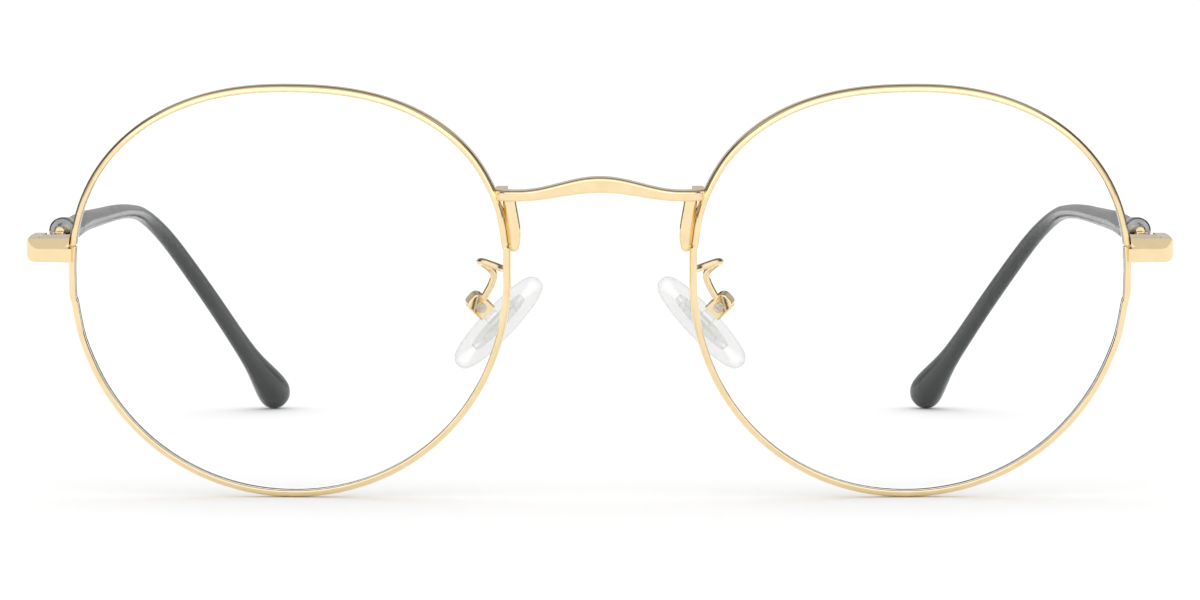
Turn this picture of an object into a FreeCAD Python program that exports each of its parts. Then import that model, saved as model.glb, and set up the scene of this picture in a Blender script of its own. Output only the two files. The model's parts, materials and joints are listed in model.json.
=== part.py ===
import FreeCAD, Part
import math
import os
from FreeCAD import Vector

# Round full-rim eyeglasses standing open on a table: rim bottoms and temple tips touch it.
# Millimetres. +X is the wearer's left, +Y points back to the wearer, +Z is up.
# The left half is built and mirrored, because the glasses are symmetric about X = 0.

# Whole front
TILT = 8.0              # degrees the front leans, so that its lower edge is nearer the cheeks
PIVOT_HEIGHT = 29.5     # height of the front's own zero line above the table
WRAP = 3.0              # degrees each rim turns back around the face
TEMPLE_SIDE = 62.4      # x about which a rim turns back
FRONT_HALF_WIDTH = 67.9

# Rim outline, about its own centre, along the middle of the rim wire
LENS_CENTRE_X = 36.7
LENS_CENTRE_W = -2.64
HALF_WIDTH = 25.8
HEIGHT_ABOVE = 22.1
HEIGHT_BELOW = 26.55
POWER_ABOVE_NASAL = 2.38
POWER_ABOVE_TEMPLE = 2.20
POWER_BELOW = 2.05
OUTLINE_POINTS = 48
CURVE_RADIUS = 130.0    # sphere that rims and lenses follow
CROWN = 1.5             # how far that sphere's pole stands ahead of the front's zero plane
GAP_W = 0.45            # height of the rim's opening
GAP = 0.30

# Rim wire section
RIM_THICK = 0.85
RIM_DEPTH = 1.80
RIM_OUTER_ROUND = 0.42
RIM_INNER_ROUND = 0.26
ROUND_STEPS = 5
GROOVE_HALF = 0.40
GROOVE_DEEP = 0.42
LENS_THICK = 1.5
LENS_FIT = 0.02

# Bridge
BAR_FRONT_V = -3.5
BAR_THICK = 1.5
BAR_HALF = 10.45
BAR_END_HALF = 12.3
BAR_LOW = 6.42
BAR_HIGH = 7.66
BAR_LOW_RISE = 1.0
BAR_HIGH_RISE = 1.6
ARCH_HALF = 9.6

# Endpiece
END_LOW = -1.41
END_TOP = 0.20            # top of the upright front band
END_CROWN = 1.30          # top of the sloping band above it
END_SLOPE_IN = 0.80
ARM_TOP_DROP = 1.00       # how far the side arm's top edge falls towards the hinge
RAMP_FRONT = -0.12        # ramp that brings the plate's face out to the rim
RAMP_INNER_X = 62.45
RAMP_START_X = 62.95
RAMP_END_X = 64.4
END_LOW_ROUND = 1.0
END_TOP_ROUND = 0.5
END_EDGE = 0.22
END_THICK = 1.4
END_CORNER = 1.6
END_START_X = 61.2
END_CUT_Y = 8.85
LOCK_X = 64.3           # closing screw
LOCK_V = 2.6
LOCK_FOOT_X = 61.9
LOCK_END_X = 66.4
LOCK_BACK_V = 4.2
LOCK_TOP = 1.25

# Hinge
HINGE_X = 63.7
HINGE_Y = 9.0
HINGE_LOW = 27.95
KNUCKLE = 0.98
KNUCKLE_GAP = 0.06
KNUCKLE_RADIUS = 0.95
PIVOT_RADIUS = 0.50
RUNNING = 0.04          # radial clearance of a turning fit

# Temple
CORE_X = 65.1
CORE_Z = 31.45
CORE_RADIUS = 0.52
CORE_FRONT = 9.8
MOUTH_Y = 12.2
MOUTH_RADIUS = 1.62
MOUTH_HOLE = 0.95
SLEEVE_Y = 16.0
SLEEVE_FIT = 0.02
WIRE_RADIUS = 0.45      # core wire inside the sleeve

# Nose pad
PAD_CENTRE = Vector(12.2, 7.9, 20.6)
PAD_LONG_ANGLE = 46.2   # degrees that the pad's long axis points down from +X
PAD_TURN = 18.0         # degrees that the pad's face turns back
PAD_LENGTH = 14.2
PAD_WIDTH = 7.6
PAD_THICK = 2.2
PAD_EDGE = 1.0
ROCK_HEIGHT = 3.2       # distance from the pad's centre to its screw
PAD_SCREW_RADIUS = 0.42
ARM_RADIUS = 0.425


# ---------------------------------------------------------------- helpers

def tilted(shape):
    """Lean a shape of the front and lift it to its height."""
    moved = shape.copy()
    moved.rotate(Vector(0, 0, 0), Vector(1, 0, 0), TILT)
    moved.translate(Vector(0, 0, PIVOT_HEIGHT))
    return moved


def wrapped(shape):
    """Turn a rim or lens back around the face."""
    moved = shape.copy()
    moved.rotate(Vector(TEMPLE_SIDE, 0, 0), Vector(0, 0, 1), WRAP)
    return moved


def box(low, high):
    size = high - low
    return Part.makeBox(size.x, size.y, size.z, low)


def prism(points, along):
    """Straight-sided solid from a flat polygon."""
    return Part.Face(Part.makePolygon(points + [points[0]])).extrude(along)


def lines_and_arcs(parts):
    """Wire from tuples of points: two make a line, three make an arc."""
    edges = []
    for points in parts:
        if len(points) == 2:
            edges.append(Part.LineSegment(*points).toShape())
        else:
            edges.append(Part.Arc(*points).toShape())
    return Part.Wire(edges)


def spline(points, closed=False):
    curve = Part.BSplineCurve()
    curve.interpolate(points, PeriodicFlag=closed)
    return curve.toShape()


def sweep(path, section, upright):
    """Solid that a section makes along a path, keeping one direction upright."""
    maker = Part.BRepOffsetAPI.MakePipeShell(path)
    maker.setBiNormalMode(upright)
    maker.add(section, False, False)
    maker.build()
    maker.makeSolid()
    return maker.shape()


def bent_path(points):
    """Straight runs joined by tangent arcs as large as the runs allow."""
    share = 0.45
    edges = []
    start = points[0]
    for before, corner, after in zip(points, points[1:], points[2:]):
        back = (before - corner).normalize()
        ahead = (after - corner).normalize()
        reach = share * min((before - corner).Length, (after - corner).Length)
        half = back.getAngle(ahead) / 2
        middle = (back + ahead).normalize()
        radius = reach * math.tan(half)
        to_arc = reach / math.cos(half) - radius
        arc_start = corner + back * reach
        arc_end = corner + ahead * reach
        edges.append(Part.LineSegment(start, arc_start).toShape())
        edges.append(Part.Arc(arc_start, corner + middle * to_arc, arc_end).toShape())
        start = arc_end
    edges.append(Part.LineSegment(start, points[-1]).toShape())
    return Part.Wire(edges)


def round_wire(points, radius):
    """Round wire along a bent path."""
    path = bent_path(points)
    direction = points[1] - points[0]
    circle = Part.Wire(Part.makeCircle(radius, points[0], direction))
    maker = Part.BRepOffsetAPI.MakePipeShell(path)
    maker.setFrenetMode(False)
    maker.add(circle, False, False)
    maker.build()
    maker.makeSolid()
    return maker.shape()


def turned(profile, centre, axis_direction, radial):
    """Body of revolution: profile is (distance along, radius) pairs from an end on the axis."""
    points = [centre + axis_direction * along + radial * out for along, out in profile]
    return Part.Face(Part.makePolygon(points + [points[0]])).revolve(centre, axis_direction, 360)


def upright_rod(radius, low, high, x, y):
    return Part.makeCylinder(radius, high - low, Vector(x, y, low))


# ---------------------------------------------------------------- rim and lens

def outline(angle, inset=0.0):
    """Point of the rim outline about its centre, moved inward by inset."""

    def point(at):
        across = math.cos(at)
        up = math.sin(at)
        height = HEIGHT_ABOVE if up >= 0 else HEIGHT_BELOW
        power = POWER_BELOW
        if up >= 0:
            power = POWER_ABOVE_TEMPLE if across >= 0 else POWER_ABOVE_NASAL
        reach = (abs(across / HALF_WIDTH) ** power + abs(up / height) ** power) ** (-1 / power)
        return reach * across, reach * up

    step = 1e-3
    x, w = point(angle)
    ahead = point(angle + step)
    behind = point(angle - step)
    run = ahead[0] - behind[0]
    rise = ahead[1] - behind[1]
    length = math.hypot(run, rise)
    return x - rise / length * inset, w + run / length * inset


def outline_middle():
    return (HEIGHT_ABOVE - HEIGHT_BELOW) / 2


def on_sphere(angle, inset=0.0):
    """Outline point laid on the sphere that the lens follows."""
    x, w = outline(angle, inset)
    reach = math.hypot(x, w - outline_middle())
    back = CURVE_RADIUS - math.sqrt(CURVE_RADIUS ** 2 - reach ** 2) - CROWN
    return Vector(LENS_CENTRE_X + x, back, LENS_CENTRE_W + w)


def half_turn(first, inset, back):
    """Smooth edge along half of the outline, laid on the sphere and moved back."""
    steps = OUTLINE_POINTS // 2
    turn = math.pi
    lift = Vector(0, back, 0)
    points = [on_sphere(first + turn * i / steps, inset) + lift for i in range(steps + 1)]
    small = 1e-3

    def direction(angle):
        return (on_sphere(angle + small, inset) - on_sphere(angle - small, inset)).normalize()

    curve = Part.BSplineCurve()
    curve.interpolate(points, InitialTangent=direction(first), FinalTangent=direction(first + turn))
    return curve.toShape()


def ring(inset, back):
    """Closed wire along the whole outline."""
    return Part.Wire([half_turn(0, inset, back), half_turn(math.pi, inset, back)])


def rim_corners():
    """Rim wire section as (inset, back) pairs: a rounded bar with a V groove on its inner side."""
    half = RIM_THICK / 2
    deep = RIM_DEPTH / 2
    corners = []
    for i in range(ROUND_STEPS + 1):
        turn = math.pi / 2 * i / ROUND_STEPS
        across = RIM_INNER_ROUND * (1 - math.cos(turn))
        along = RIM_INNER_ROUND * (1 - math.sin(turn))
        corners.append((half - across, -deep + along))
    for i in range(ROUND_STEPS + 1):
        turn = math.pi / 2 * i / ROUND_STEPS
        across = RIM_OUTER_ROUND * (1 - math.sin(turn))
        along = RIM_OUTER_ROUND * (1 - math.cos(turn))
        corners.append((-half + across, -deep + along))
    corners += [(inset, -back) for inset, back in reversed(corners)]
    groove = [(half, GROOVE_HALF), (half - GROOVE_DEEP, 0), (half, -GROOVE_HALF)]
    return corners + groove


def rim():
    """Open ring, cut at the temple side where the closing blocks clamp it."""
    bar = Part.makeLoft([ring(inset, back) for inset, back in rim_corners()], True, True, True)
    gap_low = Vector(58.0, -5.0, GAP_W - GAP / 2)
    gap_high = Vector(66.0, 6.0, GAP_W + GAP / 2)
    return wrapped(biggest(bar.cut(box(gap_low, gap_high))))


def lens():
    """Meniscus lens whose bevelled edge fills the rim's groove."""
    reach = 3.0
    base = RIM_THICK / 2 + LENS_FIT
    rings = [
        ring(base, -reach), ring(base, -GROOVE_HALF), ring(base - GROOVE_DEEP, 0),
        ring(base, GROOVE_HALF), ring(base, reach),
    ]
    blank = Part.makeLoft(rings, True, True)
    middle = Vector(LENS_CENTRE_X, CURVE_RADIUS - CROWN, LENS_CENTRE_W + outline_middle())
    outer = Part.makeSphere(CURVE_RADIUS + LENS_THICK / 2, middle)
    inner = Part.makeSphere(CURVE_RADIUS - LENS_THICK / 2, middle)
    return wrapped(biggest(blank.common(outer).cut(inner)))


def rim_filled():
    """Space that a rim and its lens take up, as one thick plate."""
    angles = [2 * math.pi * i / OUTLINE_POINTS for i in range(OUTLINE_POINTS)]
    low = 4.0
    flat = []
    for angle in angles:
        x, w = outline(angle, -RIM_THICK / 2)
        flat.append(Vector(LENS_CENTRE_X + x, -low, LENS_CENTRE_W + w))
    plate = Part.Face(Part.Wire([spline(flat, closed=True)])).extrude(Vector(0, 3 * low, 0))
    return wrapped(plate)


# ---------------------------------------------------------------- bridge

def bridge(rim_left):
    """Arched flat bar, wrapped back at both ends, with a leg down each rim."""
    back = 0.60
    steps = 12
    upper = []
    lower = []
    for i in range(steps + 1):
        x = -ARCH_HALF + 2 * ARCH_HALF * i / steps
        rise = 0.5 * (1 + math.cos(math.pi * x / ARCH_HALF))
        upper.append(Vector(x, BAR_FRONT_V, BAR_HIGH + BAR_HIGH_RISE * rise))
        lower.append(Vector(x, BAR_FRONT_V, BAR_LOW + BAR_LOW_RISE * rise))
    left_top = Vector(BAR_END_HALF, BAR_FRONT_V, BAR_HIGH)
    left_low = Vector(BAR_END_HALF, BAR_FRONT_V, BAR_LOW)
    right_top = Vector(-BAR_END_HALF, BAR_FRONT_V, BAR_HIGH)
    right_low = Vector(-BAR_END_HALF, BAR_FRONT_V, BAR_LOW)
    face = Part.Wire([
        spline(upper),
        Part.LineSegment(upper[-1], left_top).toShape(),
        Part.LineSegment(left_top, left_low).toShape(),
        Part.LineSegment(left_low, lower[-1]).toShape(),
        spline(lower),
        Part.LineSegment(lower[0], right_low).toShape(),
        Part.LineSegment(right_low, right_top).toShape(),
        Part.LineSegment(right_top, upper[0]).toShape(),
    ])
    bar = Part.Face(face).extrude(Vector(0, back - BAR_FRONT_V, 0))

    low = 5.0
    high = 11.0
    bend = BAR_END_HALF - BAR_HALF
    slope = 1 - math.sqrt(0.5)
    tight = 0.5
    inner_half = BAR_END_HALF - BAR_THICK
    inner_v = BAR_FRONT_V + BAR_THICK

    def plan(x, v):
        return Vector(x, v, low)

    outer_left = (
        plan(BAR_HALF, BAR_FRONT_V),
        plan(BAR_END_HALF - bend * slope, BAR_FRONT_V + bend * slope),
        plan(BAR_END_HALF, BAR_FRONT_V + bend),
    )
    inner_left = (
        plan(inner_half, inner_v + tight),
        plan(inner_half - tight * slope, inner_v + tight * slope),
        plan(inner_half - tight, inner_v),
    )

    def mirrored(points):
        return tuple(Vector(-p.x, p.y, p.z) for p in points[::-1])

    outer_right = mirrored(outer_left)
    inner_right = mirrored(inner_left)
    footprint = lines_and_arcs([
        (outer_right[2], outer_left[0]),
        outer_left,
        (outer_left[2], plan(BAR_END_HALF, back)),
        (plan(BAR_END_HALF, back), plan(inner_half, back)),
        (plan(inner_half, back), inner_left[0]),
        inner_left,
        (inner_left[2], inner_right[0]),
        inner_right,
        (inner_right[2], plan(-inner_half, back)),
        (plan(-inner_half, back), plan(-BAR_END_HALF, back)),
        (plan(-BAR_END_HALF, back), outer_right[0]),
        outer_right,
    ])
    bar = bar.common(Part.Face(footprint).extrude(Vector(0, 0, high - low)))
    edges = [edge for edge in bar.Edges if edge.BoundBox.YMax < BAR_FRONT_V + 0.01]
    bar = bar.makeFillet(0.30, edges)

    leg_left = bridge_leg()
    leg_right = leg_left.mirror(Vector(0, 0, 0), Vector(1, 0, 0))
    rim_right = rim_left.mirror(Vector(0, 0, 0), Vector(1, 0, 0))
    whole = bar.fuse([leg_left, leg_right]).removeSplitter()
    whole = whole.cut(rim_left).cut(rim_right)
    return biggest(whole)


def bridge_leg():
    """Flat strip that hangs from the bridge's end and lies against the rim's nose side."""
    front = -1.20
    back = 0.45

    def at(x, w):
        return Vector(x, front, w)

    nose_edge = [at(10.0, 6.9), at(9.72, 5.0), at(9.45, 3.4), at(9.34, 1.9), at(9.5, 0.7)]
    bottom = (at(9.5, 0.7), at(10.15, 0.0), at(10.8, 0.7))
    rim_edge = [at(10.8, 0.7), at(11.0, 2.6), at(11.25, 4.6), at(11.6, 6.9)]
    wire = Part.Wire([
        spline(nose_edge),
        Part.Arc(*bottom).toShape(),
        spline(rim_edge),
        Part.LineSegment(rim_edge[-1], nose_edge[0]).toShape(),
    ])
    leg = Part.Face(wire).extrude(Vector(0, back - front, 0))
    crest = [edge for edge in leg.Edges if edge.BoundBox.YMax < front + 0.01]
    return leg.makeFillet(0.45, crest)


def biggest(shape):
    """Largest solid of a shape."""
    return max(shape.Solids, key=lambda solid: solid.Volume)


# ---------------------------------------------------------------- endpiece and rim lock

def endpiece(rim_space, rim_local):
    """Corner strip: a front plate that bends round into a side arm."""
    corner_x = FRONT_HALF_WIDTH - END_CORNER
    slope = 1 - math.sqrt(0.5)
    arm_end = END_CUT_Y + 1.0
    path = lines_and_arcs([
        (Vector(END_START_X, 0, 0), Vector(corner_x, 0, 0)),
        (
            Vector(corner_x, 0, 0),
            Vector(FRONT_HALF_WIDTH - END_CORNER * slope, END_CORNER * slope, 0),
            Vector(FRONT_HALF_WIDTH, END_CORNER, 0),
        ),
        (Vector(FRONT_HALF_WIDTH, END_CORNER, 0), Vector(FRONT_HALF_WIDTH, arm_end, 0)),
    ])

    def at(inward, w):
        return Vector(END_START_X, inward, w)

    section = lines_and_arcs([
        (at(0, END_LOW + END_EDGE), at(0, END_CROWN)),
        (at(0, END_CROWN), at(END_THICK, END_CROWN)),
        (at(END_THICK, END_CROWN), at(END_THICK, END_LOW)),
        (at(END_THICK, END_LOW), at(END_EDGE, END_LOW)),
        (
            at(END_EDGE, END_LOW),
            at(END_EDGE * slope, END_LOW + END_EDGE * slope),
            at(0, END_LOW + END_EDGE),
        ),
    ])
    strip = sweep(path, section, Vector(0, 0, 1))
    strip = strip.common(end_outline(arm_end + 1.0))
    across = Vector(20, 0, 0)
    before = RAMP_FRONT - 1
    above = END_CROWN + 1
    slope_points = [
        Vector(55, before, END_TOP), Vector(55, 0, END_TOP),
        Vector(55, END_SLOPE_IN, END_CROWN), Vector(55, END_SLOPE_IN, above),
        Vector(55, before, above),
    ]
    arm_top_points = [
        Vector(55, END_CORNER, END_CROWN), Vector(55, arm_end + 2, END_CROWN - ARM_TOP_DROP),
        Vector(55, arm_end + 2, above), Vector(55, END_CORNER, above),
    ]
    strip = strip.cut(prism(slope_points, across)).cut(prism(arm_top_points, across))

    flare_v = 0.15
    flare_points = [
        Vector(60.8, flare_v, END_LOW), Vector(63.4, flare_v, END_LOW),
        Vector(63.4, flare_v, END_TOP), Vector(62.75, flare_v, 0.95),
        Vector(62.3, flare_v, 2.9), Vector(60.8, flare_v, 2.9),
    ]
    flare = prism(flare_points, Vector(0, END_THICK - flare_v, 0))
    ramp_points = [
        Vector(RAMP_INNER_X, RAMP_FRONT, END_LOW), Vector(RAMP_START_X, RAMP_FRONT, END_LOW),
        Vector(RAMP_END_X, END_EDGE / 4, END_LOW), Vector(RAMP_END_X, END_THICK / 2, END_LOW),
        Vector(RAMP_INNER_X, END_THICK / 2, END_LOW),
    ]
    ramp = biggest(prism(ramp_points, Vector(0, 0, END_TOP - END_LOW)).cut(rim_local))
    whole = strip.fuse(flare).removeSplitter().cut(rim_space)
    whole = biggest(whole.fuse(ramp).removeSplitter())
    whole = tilted(whole)
    behind = box(Vector(50, END_CUT_Y, 0), Vector(80, END_CUT_Y + 10, 60))
    return biggest(whole.cut(behind))


def end_outline(length):
    """Front outline of the endpiece with its round outer corners, drawn back along the arm."""
    front = RAMP_FRONT - 0.5
    slope = 1 - math.sqrt(0.5)
    side = FRONT_HALF_WIDTH
    low = END_LOW
    top = END_CROWN

    def at(x, w):
        return Vector(x, front, w)

    wire = lines_and_arcs([
        (at(END_START_X, low), at(side - END_LOW_ROUND, low)),
        (
            at(side - END_LOW_ROUND, low),
            at(side - END_LOW_ROUND * slope, low + END_LOW_ROUND * slope),
            at(side, low + END_LOW_ROUND),
        ),
        (at(side, low + END_LOW_ROUND), at(side, top - END_TOP_ROUND)),
        (
            at(side, top - END_TOP_ROUND),
            at(side - END_TOP_ROUND * slope, top - END_TOP_ROUND * slope),
            at(side - END_TOP_ROUND, top),
        ),
        (at(side - END_TOP_ROUND, top), at(END_START_X, top)),
        (at(END_START_X, top), at(END_START_X, low)),
    ])
    return Part.Face(wire).extrude(Vector(0, length - front, 0))


def lock_block(low, high, rim_space):
    """Block behind the endpiece's plate that closes one end of the rim wire."""
    block = box(Vector(LOCK_FOOT_X, END_THICK, low), Vector(LOCK_END_X, LOCK_BACK_V, high))
    upright = [edge for edge in block.Edges if edge.BoundBox.ZLength > (high - low) / 2]
    block = block.makeFillet(0.35, upright)
    return biggest(block.cut(rim_space))


def rim_lock(rim_space):
    """Upper block, lower block and the screw that draws them together."""
    gap_low = GAP_W - GAP / 2
    gap_high = GAP_W + GAP / 2
    screw_radius = 0.45
    head_radius = 0.75
    head_high = 0.45
    bottom = END_LOW
    upper = lock_block(gap_high, LOCK_TOP, rim_space)
    crown = [edge for edge in upper.Edges if edge.BoundBox.ZMin > LOCK_TOP - 0.01]
    upper = upper.makeFillet(0.2, crown)
    lower = lock_block(bottom, gap_low, rim_space)
    shank = upright_rod(screw_radius, bottom + head_high, LOCK_TOP - 0.3, LOCK_X, LOCK_V)
    head = upright_rod(head_radius, bottom, bottom + head_high, LOCK_X, LOCK_V)
    slot = box(
        Vector(LOCK_X - head_radius, LOCK_V - 0.12, bottom - 1),
        Vector(LOCK_X + head_radius, LOCK_V + 0.12, bottom + 0.2),
    )
    screw = shank.fuse(head).removeSplitter()
    upper = upper.cut(screw)
    lower = lower.cut(screw)
    return tilted(upper), tilted(lower), tilted(screw.cut(slot))


# ---------------------------------------------------------------- hinge

def knuckle_span(index):
    low = HINGE_LOW + index * (KNUCKLE + KNUCKLE_GAP)
    return low, low + KNUCKLE


def hinge_leaf(index, corners):
    """One knuckle and the flat leaf that joins it to its plate."""
    low, high = knuckle_span(index)
    barrel = upright_rod(KNUCKLE_RADIUS, low, high, HINGE_X, HINGE_Y)
    leaf = prism([Vector(x, y, low) for x, y in corners], Vector(0, 0, high - low))
    return barrel.fuse(leaf)


def hinge():
    """Front half, temple half and pivot screw of a three-knuckle hinge."""
    arm_inside = FRONT_HALF_WIDTH - END_THICK
    front_corners = [
        (HINGE_X, HINGE_Y - KNUCKLE_RADIUS), (arm_inside, HINGE_Y - 2.6),
        (arm_inside, END_CUT_Y), (HINGE_X, END_CUT_Y),
    ]
    lower = hinge_leaf(0, front_corners)
    upper = hinge_leaf(2, front_corners)
    plate = box(
        Vector(arm_inside - 0.6, HINGE_Y - 4.0, knuckle_span(0)[0] + 0.6),
        Vector(arm_inside, END_CUT_Y - 0.3, knuckle_span(2)[1] - 0.2),
    )
    swing = upright_rod(KNUCKLE_RADIUS + 0.12, knuckle_span(0)[1], knuckle_span(2)[0],
                        HINGE_X, HINGE_Y)
    front_half = lower.fuse([upper, plate]).removeSplitter().cut(swing)

    block_x = CORE_X + 0.95
    block_y = MOUTH_Y - 0.5
    gap = 0.15
    top = knuckle_span(2)[1]
    temple_corners = [
        (HINGE_X - 0.3, HINGE_Y + 0.3), (HINGE_X + 0.4, HINGE_Y - 0.85),
        (HINGE_X + 0.9, END_CUT_Y + gap), (block_x, END_CUT_Y + gap),
        (block_x, block_y), (HINGE_X + 0.6, block_y),
    ]
    middle = hinge_leaf(1, temple_corners)
    block = box(
        Vector(CORE_X - 0.45, END_CUT_Y + gap, knuckle_span(1)[0]),
        Vector(block_x, block_y, top + 0.3),
    )
    temple_half = middle.fuse(block).removeSplitter()
    sweep_room = upright_rod(KNUCKLE_RADIUS + 0.12, knuckle_span(1)[1], top + 1,
                             HINGE_X, HINGE_Y)
    temple_half = temple_half.cut(sweep_room)

    head_radius = 0.72
    head_high = 0.35
    bottom = knuckle_span(0)[0]
    shank = upright_rod(PIVOT_RADIUS, bottom, top, HINGE_X, HINGE_Y)
    head = upright_rod(head_radius, top - head_high, top, HINGE_X, HINGE_Y)
    screw = shank.fuse(head).removeSplitter()
    slot = box(
        Vector(HINGE_X - head_radius, HINGE_Y - 0.12, top - 0.18),
        Vector(HINGE_X + head_radius, HINGE_Y + 0.12, top + 1),
    )
    bore = upright_rod(PIVOT_RADIUS + RUNNING, bottom, top, HINGE_X, HINGE_Y)
    front_half = front_half.cut(screw)
    temple_half = temple_half.cut(bore).cut(temple_rod())
    return front_half, biggest(temple_half), screw.cut(slot)


# ---------------------------------------------------------------- temple

# Stations along the temple: place on its centre line, half width and half height there.
TEMPLE_STATIONS = [
    (Vector(65.10, 16.0, 31.50), 1.48, 1.48),
    (Vector(65.10, 28.0, 31.80), 1.33, 1.33),
    (Vector(65.10, 42.0, 32.05), 1.18, 1.20),
    (Vector(65.05, 58.0, 32.15), 1.08, 1.10),
    (Vector(65.00, 74.0, 32.05), 0.98, 1.00),
    (Vector(64.95, 86.0, 31.65), 0.95, 0.97),
    (Vector(64.40, 96.5, 30.50), 0.98, 1.08),
    (Vector(62.60, 104.5, 27.60), 1.05, 1.22),
    (Vector(60.00, 112.0, 22.80), 1.10, 1.32),
    (Vector(57.30, 119.0, 17.60), 1.10, 1.40),
    (Vector(54.20, 127.3, 11.30), 1.15, 1.55),
    (Vector(52.30, 132.6, 7.45), 1.45, 1.85),
    (Vector(50.95, 136.8, 4.70), 2.05, 2.40),
    (Vector(50.15, 139.6, 3.00), 2.42, 2.62),
    (Vector(49.80, 141.2, 2.15), 2.30, 2.42),
    (Vector(49.62, 142.1, 1.65), 1.60, 1.70),
]
TIP_END = Vector(49.50, 142.5, 1.40)
CORE_STATIONS = 10      # the core wire ends in the bent-down part


def station_section(index, half_width, half_height):
    """Ellipse across the temple's centre line at one station."""
    centres = [place for place, _, _ in TEMPLE_STATIONS]
    ahead = centres[min(index + 1, len(centres) - 1)]
    behind = centres[max(index - 1, 0)]
    along = (ahead - behind).normalize()
    if index == 0:
        along = Vector(0, 1, 0)
    side = along.cross(Vector(0, 0, 1)).normalize()
    up = side.cross(along).normalize()
    centre = centres[index]
    if half_height > half_width:
        major, minor, long_axis, short_axis = half_height, half_width, up, side
    else:
        major, minor, long_axis, short_axis = half_width, half_height, side, up
    if major - minor < 1e-6:
        return Part.Wire(Part.makeCircle(major, centre, along))
    ellipse = Part.Ellipse(centre + long_axis * major, centre + short_axis * minor, centre)
    return Part.Wire(ellipse.toShape())


def temple_rod():
    """Front end of the core, soldered into the hinge block."""
    return Part.makeCylinder(CORE_RADIUS, SLEEVE_Y - CORE_FRONT,
                             Vector(CORE_X, CORE_FRONT, CORE_Z), Vector(0, 1, 0))


def temple_wire(radius):
    """Core wire inside the sleeve, straight runs joined by arcs."""
    start = Vector(CORE_X, SLEEVE_Y - 1.0, CORE_Z)
    return round_wire([start] + [place for place, _, _ in TEMPLE_STATIONS[1:CORE_STATIONS]], radius)


def ferrule():
    """Round metal collar with a counterbored mouth around the core."""
    hole_deep = 2.2
    length = SLEEVE_Y - MOUTH_Y
    profile = [
        (0.0, MOUTH_HOLE), (0.0, MOUTH_RADIUS - 0.2), (0.2, MOUTH_RADIUS),
        (0.9, MOUTH_RADIUS), (1.05, MOUTH_RADIUS - 0.16), (1.35, MOUTH_RADIUS - 0.16),
        (1.5, MOUTH_RADIUS - 0.02), (length, TEMPLE_STATIONS[0][1] + 0.06),
        (length, CORE_RADIUS), (hole_deep, CORE_RADIUS), (hole_deep, MOUTH_HOLE),
    ]
    return turned(profile, Vector(CORE_X, MOUTH_Y, CORE_Z), Vector(0, 1, 0), Vector(1, 0, 0))


def temple():
    """Core, ferrule and sleeve of one temple."""
    sections = [station_section(i, w, h) for i, (_, w, h) in enumerate(TEMPLE_STATIONS)]
    sections.append(Part.Vertex(TIP_END))
    outside = Part.makeLoft(sections, True, False)
    wire = temple_wire(WIRE_RADIUS)
    sleeve = biggest(outside.cut(temple_wire(WIRE_RADIUS + SLEEVE_FIT)))
    core = temple_rod().fuse(wire)
    return core, ferrule(), sleeve


# ---------------------------------------------------------------- nose pad

def pad_axes():
    """Long axis, width axis and the direction from the pad to its box."""
    angle = math.radians(PAD_LONG_ANGLE)
    turn = math.radians(PAD_TURN)
    long_axis = Vector(math.cos(angle), 0, -math.sin(angle))
    to_box = Vector(math.sin(angle) * math.cos(turn), -math.sin(turn),
                    math.cos(angle) * math.cos(turn))
    return long_axis, to_box.cross(long_axis), to_box


def pad_placed(shape):
    """Move a shape from the pad's own frame to its place on the glasses."""
    long_axis, width_axis, to_box = pad_axes()
    matrix = FreeCAD.Matrix(
        long_axis.x, width_axis.x, to_box.x, PAD_CENTRE.x,
        long_axis.y, width_axis.y, to_box.y, PAD_CENTRE.y,
        long_axis.z, width_axis.z, to_box.z, PAD_CENTRE.z,
        0, 0, 0, 1,
    )
    return shape.transformShape(matrix, True)


def oval(length, width, low, high):
    wire = Part.Wire(Part.Ellipse(Vector(0, 0, low), length / 2, width / 2).toShape())
    return Part.Face(wire).extrude(Vector(0, 0, high - low))


def across_rod(radius, low, high):
    """Rod along the pad's width axis at the height of its screw."""
    return Part.makeCylinder(radius, high - low, Vector(0, low, ROCK_HEIGHT), Vector(0, 1, 0))


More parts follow.
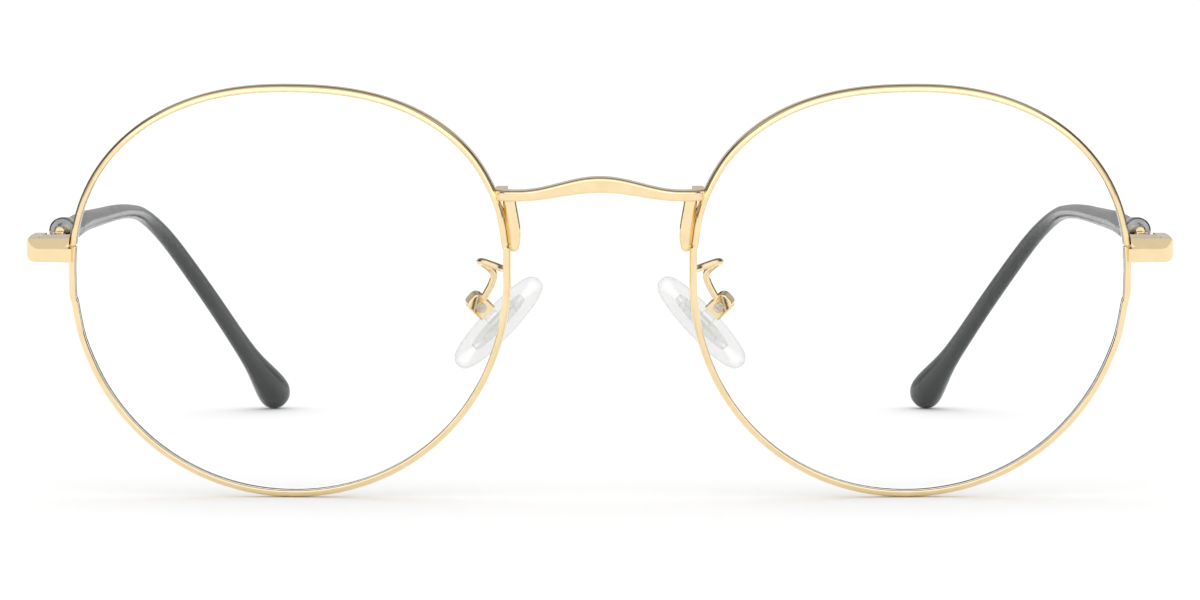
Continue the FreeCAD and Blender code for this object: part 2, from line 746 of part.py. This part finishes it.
def nose_pad():
    """Soft pad, its hard core with a lug, the folded box and the cross screw."""
    soft = oval(PAD_LENGTH, PAD_WIDTH, -PAD_THICK / 2, PAD_THICK / 2)
    rims = [edge for edge in soft.Edges if edge.BoundBox.ZLength < 0.01]
    soft = soft.makeFillet(PAD_EDGE, rims)

    lug_half = 0.5
    lug_long = 0.8
    plate = oval(8.4, 3.4, -0.3, 0.4)
    stem = box(Vector(-lug_long, -lug_half, 0.3), Vector(lug_long, lug_half, ROCK_HEIGHT))
    head = across_rod(lug_long, -lug_half, lug_half)
    core = plate.fuse([stem, head]).removeSplitter()
    core = core.cut(across_rod(PAD_SCREW_RADIUS + RUNNING, -lug_half, lug_half))
    soft = soft.cut(plate).cut(stem)

    wall = 0.35
    inside = 0.65
    outside = inside + wall
    half_long = 1.15
    foot = ROCK_HEIGHT - 1.15
    roof = ROCK_HEIGHT + 1.70
    roof_round = 0.85
    shell = box(Vector(-half_long, -outside, foot), Vector(half_long, outside, roof))
    crosswise = [edge for edge in shell.Edges if edge.BoundBox.YLength > outside]
    upper = [edge for edge in crosswise if edge.BoundBox.ZMin > ROCK_HEIGHT]
    shell = shell.makeFillet(roof_round, upper)
    flanks = [edge for edge in shell.Edges if edge.BoundBox.YLength < 0.01 and edge.BoundBox.ZMax > foot + 0.5]
    shell = shell.makeFillet(0.22, flanks)
    room = box(Vector(-half_long, -inside, foot), Vector(half_long, inside, roof - wall))
    head_deep = 0.22
    screw = across_rod(PAD_SCREW_RADIUS, -outside, outside).fuse(
        across_rod(0.6, -outside - head_deep, -outside)).removeSplitter()
    holder = shell.cut(room).cut(screw)
    slot = box(
        Vector(-0.6, -outside - head_deep, ROCK_HEIGHT - 0.09),
        Vector(0.6, -outside - head_deep / 2, ROCK_HEIGHT + 0.09),
    )
    return soft, core, holder, screw.cut(slot), shell


def pad_arm(box_shell, rim_solid):
    """Bent round wire from the back of the rim, in a U, to the pad's box."""
    route = [
        Vector(11.00, -0.9, 27.2), Vector(11.6, 1.0, 27.4), Vector(14.0, 1.9, 28.2),
        Vector(14.45, 3.2, 28.1), Vector(13.5, 4.4, 27.6), Vector(12.55, 4.9, 26.6),
        Vector(13.0, 5.3, 25.3), Vector(13.9, 6.1, 23.7),
    ]
    wire = round_wire(route, ARM_RADIUS)
    return biggest(wire.cut(box_shell).cut(rim_solid))


# ---------------------------------------------------------------- the whole

def left_half():
    """Every node of the left half, in the standing frame."""
    rim_local = rim()
    rim_solid = tilted(rim_local)
    parts = {"rim": rim_solid, "lens": tilted(lens())}
    rim_space = rim_filled()
    parts["endpiece"] = endpiece(rim_space, rim_local)
    upper, lower, rim_screw = rim_lock(rim_space)
    parts["rim_lock_upper"] = upper.cut(parts["endpiece"])
    parts["rim_lock_lower"] = lower.cut(parts["endpiece"])
    parts["rim_screw"] = rim_screw
    front_half, temple_half, hinge_screw = hinge()
    parts["hinge_front"] = front_half.cut(parts["endpiece"])
    parts["hinge_temple"] = temple_half
    parts["hinge_screw"] = hinge_screw
    core, collar, sleeve = temple()
    parts["temple_core"] = core
    parts["ferrule"] = collar
    parts["temple_sleeve"] = sleeve
    soft, pad_core, holder, pad_screw, shell = [pad_placed(s) for s in nose_pad()]
    parts["nose_pad"] = soft
    parts["pad_core"] = pad_core
    parts["pad_box"] = holder
    parts["pad_screw"] = pad_screw
    parts["pad_arm"] = pad_arm(shell, rim_solid.fuse(parts["lens"]))
    return parts, rim_local


def build():
    """All nodes by name, with the origin under the middle of their common box."""
    parts, rim_local = left_half()
    nodes = {"bridge": tilted(bridge(rim_local))}
    for name, shape in parts.items():
        nodes[name + "_left"] = shape
        nodes[name + "_right"] = shape.mirror(Vector(0, 0, 0), Vector(1, 0, 0))
    boxes = [shape.optimalBoundingBox() for shape in nodes.values()]
    front = min(b.YMin for b in boxes)
    back = max(b.YMax for b in boxes)
    low = min(b.ZMin for b in boxes)
    shift = Vector(0, -(front + back) / 2, -low)
    for name, shape in nodes.items():
        nodes[name] = biggest(shape)
        nodes[name].translate(shift)
    return nodes, shift


NODES, SHIFT = build()
os.makedirs("parts", exist_ok=True)
for node_name, node_shape in NODES.items():
    node_shape.exportStep(f"parts/{node_name}.step")
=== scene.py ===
import json
import math

import bpy
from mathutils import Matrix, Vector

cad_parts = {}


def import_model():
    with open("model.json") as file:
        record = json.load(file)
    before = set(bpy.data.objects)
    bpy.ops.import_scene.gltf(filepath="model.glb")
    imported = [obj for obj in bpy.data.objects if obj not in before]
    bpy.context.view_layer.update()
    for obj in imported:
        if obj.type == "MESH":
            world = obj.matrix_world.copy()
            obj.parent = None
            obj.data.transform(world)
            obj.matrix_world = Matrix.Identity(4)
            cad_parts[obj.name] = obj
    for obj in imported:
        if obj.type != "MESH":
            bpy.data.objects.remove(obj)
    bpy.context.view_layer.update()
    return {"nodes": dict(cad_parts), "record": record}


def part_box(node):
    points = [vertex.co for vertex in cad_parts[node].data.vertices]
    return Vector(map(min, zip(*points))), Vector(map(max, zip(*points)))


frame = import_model()

MM = 0.001

# ---------------------------------------------------------------- camera and stage

CAMERA_DISTANCE = 475 * MM      # in front of the endpieces' front faces
CAMERA_HEIGHT = 47.5 * MM
CAMERA_PITCH = math.radians(2.87)
SENSOR = 36.0
FOCAL = 120.8
NEAREST_SEEN = 10 * MM
FARTHEST_SEEN = 200.0

FLOOR_HALF = 60.0               # metres, wide enough that its edge is never in view
FLOOR_WHITE = 0.93
CARD_STRENGTH = 1.65            # brightest level that a reflection sees
OPEN_LEVEL = 0.70               # share of that strength that lights and fills the studio

# Sockets of the Mix node when it mixes colours; their names repeat, so they go by number.
MIX_FIRST = 6
MIX_SECOND = 7
MIX_RESULT = 2


def camera():
    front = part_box("endpiece_left")[0].y
    data = bpy.data.cameras.new("camera")
    data.sensor_width = SENSOR
    data.lens = FOCAL
    data.clip_start = NEAREST_SEEN
    data.clip_end = FARTHEST_SEEN
    eye = bpy.data.objects.new("camera", data)
    eye.location = (0.0, front - CAMERA_DISTANCE, CAMERA_HEIGHT)
    eye.rotation_euler = (math.pi / 2 - CAMERA_PITCH, 0.0, 0.0)
    bpy.context.scene.collection.objects.link(eye)
    bpy.context.scene.camera = eye


def floor():
    half = FLOOR_HALF
    mesh = bpy.data.meshes.new("floor")
    corners = [(-half, -half, 0), (half, -half, 0), (half, half, 0), (-half, half, 0)]
    mesh.from_pydata(corners, [], [(0, 1, 2, 3)])
    plane = bpy.data.objects.new("floor", mesh)
    bpy.context.scene.collection.objects.link(plane)
    material, _, _, shader = new_material("floor_white")
    shader.inputs["Base Color"].default_value = (FLOOR_WHITE, FLOOR_WHITE, FLOOR_WHITE, 1)
    shader.inputs["Roughness"].default_value = 0.9
    shader.inputs["Specular IOR Level"].default_value = 0.0
    mesh.materials.append(material)


def world():
    """White studio. Reflections see a bright front with darker cards at the sides, above and behind."""
    scene = bpy.context.scene
    scene.view_settings.view_transform = "Standard"
    scene.world = bpy.data.worlds.new("studio")
    scene.world.use_nodes = True
    tree = scene.world.node_tree
    nodes = tree.nodes
    links = tree.links
    direction = nodes.new("ShaderNodeTexCoord")
    split = nodes.new("ShaderNodeSeparateXYZ")
    links.new(direction.outputs["Generated"], split.inputs["Vector"])

    def graded(source, stops):
        """Grey level along one direction: stops are (position from -1 to 1, level)."""
        remap = nodes.new("ShaderNodeMapRange")
        remap.inputs["From Min"].default_value = -1.0
        links.new(source, remap.inputs["Value"])
        ramp = nodes.new("ShaderNodeValToRGB")
        band = ramp.color_ramp
        while len(band.elements) < len(stops):
            band.elements.new(0.5)
        for element, (at, level) in zip(band.elements, stops):
            element.position = (at + 1) / 2
            element.color = (level, level, level, 1)
        links.new(remap.outputs["Result"], ramp.inputs["Fac"])
        return ramp.outputs["Color"]

    def times(first, second):
        """Product of two colours."""
        product = nodes.new("ShaderNodeMix")
        product.data_type = "RGBA"
        product.blend_type = "MULTIPLY"
        product.inputs["Factor"].default_value = 1.0
        links.new(first, product.inputs[MIX_FIRST])
        links.new(second, product.inputs[MIX_SECOND])
        return product.outputs[MIX_RESULT]

    across = graded(split.outputs["X"], [
        (-1.0, 0.35), (-0.85, 0.16), (-0.62, 1.0), (0.62, 1.0), (0.85, 0.16), (1.0, 0.35),
    ])
    upward = graded(split.outputs["Z"], [
        (-0.3, 1.0), (0.42, 1.0), (0.60, 0.25), (0.74, 0.85), (0.95, 0.45),
    ])
    behind = graded(split.outputs["Y"], [
        (-0.90, 1.0), (-0.62, 0.66), (-0.10, 0.52), (0.22, 0.15), (0.60, 0.22), (0.92, 0.36),
    ])
    cards = times(times(across, upward), behind)

    # Rays that pass through clear parts see plain white; only mirrored rays see the cards.
    ray = nodes.new("ShaderNodeLightPath")
    mirrored = nodes.new("ShaderNodeMath")
    mirrored.operation = "SUBTRACT"
    mirrored.use_clamp = True
    links.new(ray.outputs["Is Glossy Ray"], mirrored.inputs[0])
    links.new(ray.outputs["Is Transmission Ray"], mirrored.inputs[1])
    seen = nodes.new("ShaderNodeMix")
    seen.data_type = "RGBA"
    seen.inputs[MIX_FIRST].default_value = (OPEN_LEVEL, OPEN_LEVEL, OPEN_LEVEL, 1)
    links.new(mirrored.outputs[0], seen.inputs["Factor"])
    links.new(cards, seen.inputs[MIX_SECOND])
    background = nodes["Background"]
    background.inputs["Strength"].default_value = CARD_STRENGTH
    links.new(seen.outputs[MIX_RESULT], background.inputs["Color"])


# ---------------------------------------------------------------- materials

def new_material(name):
    material = bpy.data.materials.new(name)
    material.use_nodes = True
    nodes = material.node_tree.nodes
    return material, nodes, material.node_tree.links, nodes["Principled BSDF"]


def noise(nodes, links, scale, detail=3.0):
    """Noise in object space; scale is in cycles per metre."""
    place = nodes.new("ShaderNodeTexCoord")
    texture = nodes.new("ShaderNodeTexNoise")
    texture.inputs["Scale"].default_value = scale
    texture.inputs["Detail"].default_value = detail
    links.new(place.outputs["Object"], texture.inputs["Vector"])
    return texture.outputs["Fac"]


def varied_colour(nodes, links, shader, factor, low, high):
    ramp = nodes.new("ShaderNodeValToRGB")
    ramp.color_ramp.elements[0].position = 0.35
    ramp.color_ramp.elements[0].color = (*low, 1)
    ramp.color_ramp.elements[1].position = 0.65
    ramp.color_ramp.elements[1].color = (*high, 1)
    links.new(factor, ramp.inputs["Fac"])
    links.new(ramp.outputs["Color"], shader.inputs["Base Color"])


def varied_roughness(nodes, links, shader, factor, low, high):
    spread = nodes.new("ShaderNodeMapRange")
    spread.inputs["To Min"].default_value = low
    spread.inputs["To Max"].default_value = high
    links.new(factor, spread.inputs["Value"])
    links.new(spread.outputs["Result"], shader.inputs["Roughness"])


def bumped(nodes, links, shader, factor, strength, distance):
    bump = nodes.new("ShaderNodeBump")
    bump.inputs["Strength"].default_value = strength
    bump.inputs["Distance"].default_value = distance
    links.new(factor, bump.inputs["Height"])
    links.new(bump.outputs["Normal"], shader.inputs["Normal"])


def surface(name, low, high, rough, scale, bump, metallic=0.0, **sockets):
    """Procedural surface: colour, roughness and fine relief from one noise."""
    material, nodes, links, shader = new_material(name)
    shader.inputs["Metallic"].default_value = metallic
    for socket, value in sockets.items():
        shader.inputs[socket.replace("_", " ")].default_value = value
    factor = noise(nodes, links, scale)
    varied_colour(nodes, links, shader, factor, low, high)
    varied_roughness(nodes, links, shader, factor, *rough)
    bumped(nodes, links, shader, noise(nodes, links, scale * 6), bump, 0.01 * MM)
    return material


def gold_metal():
    return surface("polished_gold", (0.90, 0.71, 0.42), (0.93, 0.75, 0.46), (0.05, 0.11),
                   600, 0.1, metallic=1.0)


def gunmetal():
    return surface("gunmetal", (0.30, 0.31, 0.31), (0.38, 0.39, 0.39), (0.08, 0.16),
                   900, 0.1, metallic=1.0)


def screw_steel():
    return surface("screw_steel", (0.62, 0.60, 0.55), (0.75, 0.72, 0.66), (0.18, 0.32),
                   2500, 0.3, metallic=1.0)


def dark_plastic():
    return surface("dark_plastic", (0.020, 0.024, 0.024), (0.027, 0.031, 0.031), (0.14, 0.22),
                   700, 0.1, IOR=1.42)


def clear_lens():
    """The low index keeps the reflection as faint as a coated lens's."""
    return surface("clear_lens", (0.985, 0.99, 0.985), (1.0, 1.0, 1.0), (0.0, 0.005),
                   40, 0.0, Transmission_Weight=1.0, IOR=1.2, Specular_IOR_Level=0.15)


def see_through(material, face_on, edge_on):
    """Clear part: nearly invisible face on, its outline fading in towards the edges."""
    nodes = material.node_tree.nodes
    links = material.node_tree.links
    weight = nodes.new("ShaderNodeLayerWeight")
    weight.inputs["Blend"].default_value = 0.45
    spread = nodes.new("ShaderNodeMapRange")
    spread.inputs["From Min"].default_value = 0.25
    spread.inputs["To Min"].default_value = face_on
    spread.inputs["To Max"].default_value = edge_on
    links.new(weight.outputs["Facing"], spread.inputs["Value"])
    links.new(spread.outputs["Result"], nodes["Principled BSDF"].inputs["Alpha"])
    return material


def clear_silicone():
    material = surface("clear_silicone", (0.62, 0.63, 0.61), (0.66, 0.67, 0.65), (0.10, 0.16),
                       300, 0.05, IOR=1.41)
    return see_through(material, 0.05, 0.60)


def pad_insert():
    material = surface("pad_insert", (0.70, 0.69, 0.64), (0.76, 0.75, 0.70), (0.05, 0.12),
                       300, 0.05, IOR=1.5)
    return see_through(material, 0.12, 0.70)


MAKERS = {
    "gold_metal": gold_metal, "clear_lens": clear_lens, "gunmetal": gunmetal,
    "dark_plastic": dark_plastic, "clear_silicone": clear_silicone,
    "pad_insert": pad_insert, "screw_steel": screw_steel,
}


def finish_cad_nodes():
    """Give every CAD node the material of its slot in the record."""
    made = {slot: maker() for slot, maker in MAKERS.items()}
    for row in frame["record"]["subparts"]:
        node = frame["nodes"][row["node"]]
        node.data.materials.clear()
        node.data.materials.append(made[row["material_slot"]])


camera()
world()
floor()
finish_cad_nodes()
